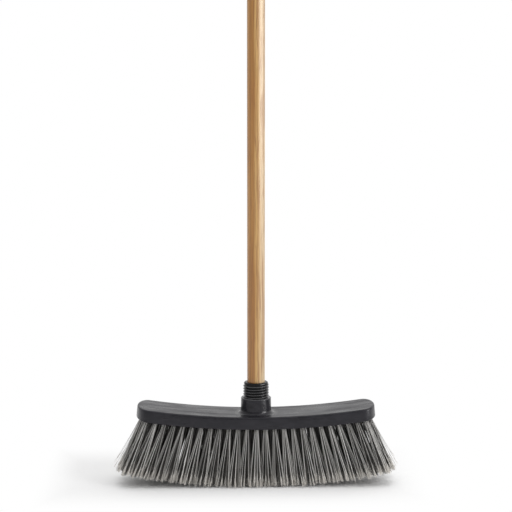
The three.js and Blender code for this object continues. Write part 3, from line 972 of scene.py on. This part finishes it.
def tuft_paths(root, tip, outside, end, random):
    """Centre lines of one tuft's filaments, gathered in locks, with the tone of each.

    A tuft at an end of its row, -1 or 1, spreads less on its outer side.
    """
    direction, lock_tip, lock_tone, lock_trim = lock_layout(outside, random)
    power = OUTER_SPREAD_POWER if outside else INNER_SPREAD_POWER
    member = np.repeat(np.arange(len(direction)), LOCK_FILAMENTS)
    count = len(member)
    at_root = direction[member] * LOCK_ROOT_SPREAD + random.normal(0, STRAND_ROOT_SCATTER, (count, 2))
    at_root /= np.maximum(np.linalg.norm(at_root, axis=1, keepdims=True) / ROOT_REACH, 1.0)
    at_tip = lock_tip[member] + random.normal(0, STRAND_TIP_SCATTER, (count, 2))
    if end:
        at_root[:, 0] = np.minimum(at_root[:, 0] * end, END_ROOT_REACH) * end
        at_tip[:, 0] = np.minimum(at_tip[:, 0] * end, END_TIP_REACH) * end
    wave = random.normal(0, STRAND_WAVE, (count, 2))
    phase = random.uniform(0, math.pi, (count, 1))
    trim = lock_trim[member] + np.abs(random.normal(0, TRIM_SCATTER, count))
    shares = np.linspace(-FILAMENT_ROOT_DEPTH / BRISTLE_LENGTH, 1.0, FILAMENT_STEPS + 1)
    paths = np.zeros((count, FILAMENT_STEPS + 1, 3))
    for step, share in enumerate(shares):
        along = max(share, 0.0)
        spread = along ** power
        bend = np.sin(math.pi * STRAND_HALF_WAVES * along + phase) * along
        paths[:, step] = root + (tip - root) * share
        paths[:, step, :2] += at_root * (1 - spread) + at_tip * spread + wave * bend
        paths[:, step, 2] += trim * along
    paths[:, :, 2] = np.maximum(paths[:, :, 2], LOWEST_TIP)
    tone = np.clip(lock_tone[member] + random.normal(0, STRAND_TONE_SCATTER, count), 0.0, 1.0)
    return paths, tone


def stray_path(root, tip, side, random):
    """One filament of an end tuft that stands off outwards and ends higher."""
    reach = random.uniform(*STRAY_REACH)
    lift = random.uniform(*STRAY_LIFT)
    path = np.zeros((1, FILAMENT_STEPS + 1, 3))
    for step, share in enumerate(np.linspace(0.0, 1.0, FILAMENT_STEPS + 1)):
        path[0, step] = root + (tip - root) * share
        path[0, step, 0] += side * (LOCK_ROOT_SPREAD + reach * share ** STRAY_REACH_POWER)
        path[0, step, 2] += lift * share ** STRAY_LIFT_POWER
    return path


def hair_paths(paths, random):
    """The split hairs at the ends of filaments, from the start of each filament's last step."""
    parents = np.repeat(paths, HAIRS_PER_FILAMENT, axis=0)
    start = parents[:, -2]
    end = parents[:, -1] + random.normal(0, 1, start.shape) * np.array(HAIR_SCATTER)
    shares = np.linspace(0.0, 1.0, HAIR_STEPS + 1)
    hairs = start[:, None] + (end - start)[:, None] * shares[None, :, None]
    hairs[:, :, 2] = np.maximum(hairs[:, :, 2], LOWEST_TIP)
    return hairs


def filament_paths(rows, random):
    """Centre lines of all the filaments in some rows of tufts, with the tone and the painted root shade of
    each.
    """
    paths = []
    tones = []
    root_shades = []
    for row in rows:
        sites = tuft_sites(row)
        for index, (root, tip) in enumerate(sites):
            end = {0: -1, len(sites) - 1: 1}.get(index, 0)
            outside = end != 0 or row in (1, ROW_COUNT)
            tuft, tone = tuft_paths(root, tip, outside, end, random)
            paths.append(tuft)
            tones.append(tone)
            root_shades.append(np.full(len(tuft), 1.0 if outside else INNER_ROOT_SHADE))
        for side, (root, tip) in ((-1, sites[0]), (1, sites[-1])) * STRAYS_PER_END:
            paths.append(stray_path(root, tip, side, random))
            tones.append(np.full(1, SKIN_TONE))
            root_shades.append(np.ones(1))
    return np.concatenate(paths), np.concatenate(tones), np.concatenate(root_shades)


def make_bristles(name, rows):
    """All the filaments of some rows of tufts, with each one's tone, its painted shade and the place along
    it.
    """
    random = np.random.default_rng(SEED + rows[0])
    paths, tones, root_shades = filament_paths(rows, random)
    hairs = hair_paths(paths, random)
    places = np.linspace(0.0, 1.0, FILAMENT_STEPS + 1)
    hair_places = np.linspace(places[-2], 1.0, HAIR_STEPS + 1)
    points = []
    faces = []
    values = {"along": [], "tone": [], "shade": []}
    for lines, places_along, thick, thin, repeat in (
        (paths, places, FILAMENT_ROOT_RADIUS, FILAMENT_TIP_RADIUS, 1),
        (hairs, hair_places, HAIR_ROOT_RADIUS, HAIR_TIP_RADIUS, HAIRS_PER_FILAMENT),
    ):
        line_points, line_faces = tubes(lines, np.linspace(thick, thin, len(places_along)), random)
        faces.append(line_faces + sum(len(part) for part in points))
        points.append(line_points)
        along = np.tile(places_along, (len(lines), 1))
        tone = np.repeat(tones, repeat)[:, None] * np.ones_like(along)
        root_shade = np.repeat(root_shades, repeat)[:, None]
        shade = root_shade + (1 - root_shade) * along ** SHADE_POWER
        for label, value in (("along", along), ("tone", tone), ("shade", shade)):
            values[label].append(np.repeat(value.ravel(), FILAMENT_SIDES))
    bristles = make_object(name, np.concatenate(points), np.concatenate(faces).tolist())
    bristles.data.shade_smooth()
    for label, parts in values.items():
        attribute = bristles.data.attributes.new(label, "FLOAT", "POINT")
        attribute.data.foreach_set("value", np.concatenate(parts))
    return bristles


# Studio

def make_floor():
    """A pale floor that keeps the object's shadow and fades to plain white away from it."""
    floor = make_object("floor", [(-1, -1, 0), (1, -1, 0), (1, 1, 0), (-1, 1, 0)], [(0, 1, 2, 3)])
    floor.scale = (FLOOR_HALF / MM, FLOOR_HALF / MM, 1.0)
    surface = Surface("pale_floor")
    where = surface.add("ShaderNodeNewGeometry").outputs["Position"]
    centred = surface.add("ShaderNodeVectorMath", {0: where, 1: FLOOR_FADE_CENTRE}, operation="SUBTRACT")
    away = surface.add("ShaderNodeVectorMath", {0: centred.outputs[0]}, operation="ABSOLUTE")
    sides = surface.add("ShaderNodeSeparateXYZ", {"Vector": away.outputs[0]}).outputs
    fade_x = surface.span(sides["X"], FLOOR_FADE_X, interpolation="SMOOTHSTEP")
    fade_y = surface.span(sides["Y"], FLOOR_FADE_Y, interpolation="SMOOTHSTEP")
    faded = surface.calculate("MAXIMUM", fade_x, fade_y)
    rays = surface.add("ShaderNodeLightPath").outputs
    mirrored = surface.calculate("MAXIMUM", rays["Is Glossy Ray"], rays["Is Transmission Ray"])
    seen = surface.calculate("MAXIMUM", rays["Is Camera Ray"], mirrored)
    share = surface.calculate("MULTIPLY", faded, seen)
    matte = surface.add("ShaderNodeBsdfDiffuse", {"Color": FLOOR_GREY}).outputs[0]
    white = surface.add("ShaderNodeEmission", {"Color": WHITE, "Strength": 1.0}).outputs[0]
    mixed = surface.add("ShaderNodeMixShader", {0: share, 1: matte, 2: white}).outputs[0]
    surface.feed(surface.tree.nodes["Material Output"].inputs["Surface"], mixed)
    floor.data.materials.append(surface.material)


def make_world():
    """White all round to the eye. As light it is bright behind and above, dim in front and on the left."""
    world = bpy.data.worlds.new("studio")
    bpy.context.scene.world = world
    world.use_nodes = True
    sky = Nodes(world.node_tree)
    around = sky.add("ShaderNodeTexCoord").outputs["Generated"]
    bright_side = (0.0, 1.0, OVERHEAD_SHARE)
    facing = sky.add("ShaderNodeVectorMath", {0: around, 1: bright_side}, operation="DOT_PRODUCT")
    rear = sky.span(facing.outputs["Value"], REAR_RANGE, interpolation="SMOOTHSTEP")
    across = sky.add("ShaderNodeSeparateXYZ", {"Vector": around}).outputs["X"]
    flag = sky.span(across, LEFT_RANGE, (LEFT_SHARE, 1.0), interpolation="SMOOTHSTEP")
    flagged = sky.calculate("MULTIPLY", rear, flag)
    level = sky.span(flagged, (0.0, 1.0), (FRONT_LEVEL, BACK_LEVEL))
    rays = sky.add("ShaderNodeLightPath").outputs
    mirrored = sky.calculate("MAXIMUM", rays["Is Glossy Ray"], rays["Is Transmission Ray"])
    behind = sky.calculate("MULTIPLY", mirrored, flagged)
    seen = sky.calculate("MAXIMUM", rays["Is Camera Ray"], behind)
    studio = sky.tree.nodes["Background"]
    sky.feed(studio.inputs["Color"], level)
    white = sky.add("ShaderNodeBackground", {"Color": WHITE})
    mixed = sky.add("ShaderNodeMixShader", {0: seen, 1: studio.outputs[0], 2: white.outputs[0]})
    sky.feed(sky.tree.nodes["World Output"].inputs["Surface"], mixed.outputs[0])


def make_soft_box(name, place, target, size, watts):
    """A rectangular soft light aimed at a point."""
    lamp = bpy.data.lights.new(name, "AREA")
    lamp.shape = "RECTANGLE"
    lamp.size, lamp.size_y = size
    lamp.energy = watts
    holder = bpy.data.objects.new(name, lamp)
    holder.location = place
    aim = Vector(target) - Vector(place)
    holder.rotation_euler = aim.to_track_quat("-Z", "Y").to_euler()
    bpy.context.scene.collection.objects.link(holder)
    return holder


def shine_on(lamp, *pieces):
    """Keeps a lamp's light to some pieces."""
    lit = bpy.data.collections.new(f"lit_by_{lamp.name}")
    for piece in pieces:
        lit.objects.link(piece)
    lamp.light_linking.receiver_collection = lit


def make_camera():
    """A long lens above the head and slightly to its left, looking a little down."""
    lens = bpy.data.cameras.new("camera")
    lens.sensor_width = SENSOR_WIDTH
    lens.lens = FOCAL_PIXELS * SENSOR_WIDTH / IMAGE_PIXELS
    camera = bpy.data.objects.new("camera", lens)
    side = math.radians(CAMERA_SIDE_DEGREES)
    camera.location = (-CAMERA_DISTANCE * math.sin(side), -CAMERA_DISTANCE * math.cos(side), CAMERA_HEIGHT)
    camera.rotation_euler = (math.radians(90 - CAMERA_PITCH), 0.0, -side)
    bpy.context.scene.collection.objects.link(camera)
    bpy.context.scene.camera = camera


make_camera()
make_world()
make_soft_box("key", KEY_PLACE, KEY_TARGET, KEY_SIZE, KEY_WATTS)
overhead = make_soft_box("overhead", TOP_PLACE, TOP_TARGET, TOP_SIZE, TOP_WATTS)
overhead.visible_glossy = False
reflector = make_soft_box("reflector", GLOSS_PLACE, GLOSS_TARGET, GLOSS_SIZE, GLOSS_WATTS)
reflector.visible_diffuse = False
glint = make_soft_box("glint", GLINT_PLACE, GLINT_TARGET, GLINT_SIZE, GLINT_WATTS)
glint.visible_diffuse = False
make_floor()

pole = make_pole()
dress(pole, wood_material(), "handle", "pole_wood", "handle_pole")

ferrule = make_ferrule()
dress(ferrule, ferrule_material(), "handle", "ferrule_plastic", "threaded_ferrule")

block = make_block()
dress(block, block_material(), "head", "block_plastic", "brush_block")

filament = bristle_material()
for name, node, rows in (
    ("front_bristles", "front_tufts", [1]),
    ("inner_bristles", "inner_tufts", range(2, ROW_COUNT)),
    ("back_bristles", "back_tufts", [ROW_COUNT]),
):
    dress(make_bristles(name, rows), filament, "head", "bristles", node)

wire = steel_material("flat_wire", WIRE_GREYS, per_metre=(60, 900, 900))
for row in range(1, ROW_COUNT + 1):
    dress(make_staples(row), wire, "head", "anchor_steel", f"anchor_row_{row}")

zinc = steel_material("zinc_plate", ZINC_GREYS, per_metre=(500, 500, 500))
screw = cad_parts["ferrule_screw"]
screw.data.materials.clear()
screw.data.materials.append(zinc)

shine_on(reflector, pole, ferrule)
shine_on(glint, block, ferrule)

bpy.context.scene.view_settings.view_transform = "Standard"
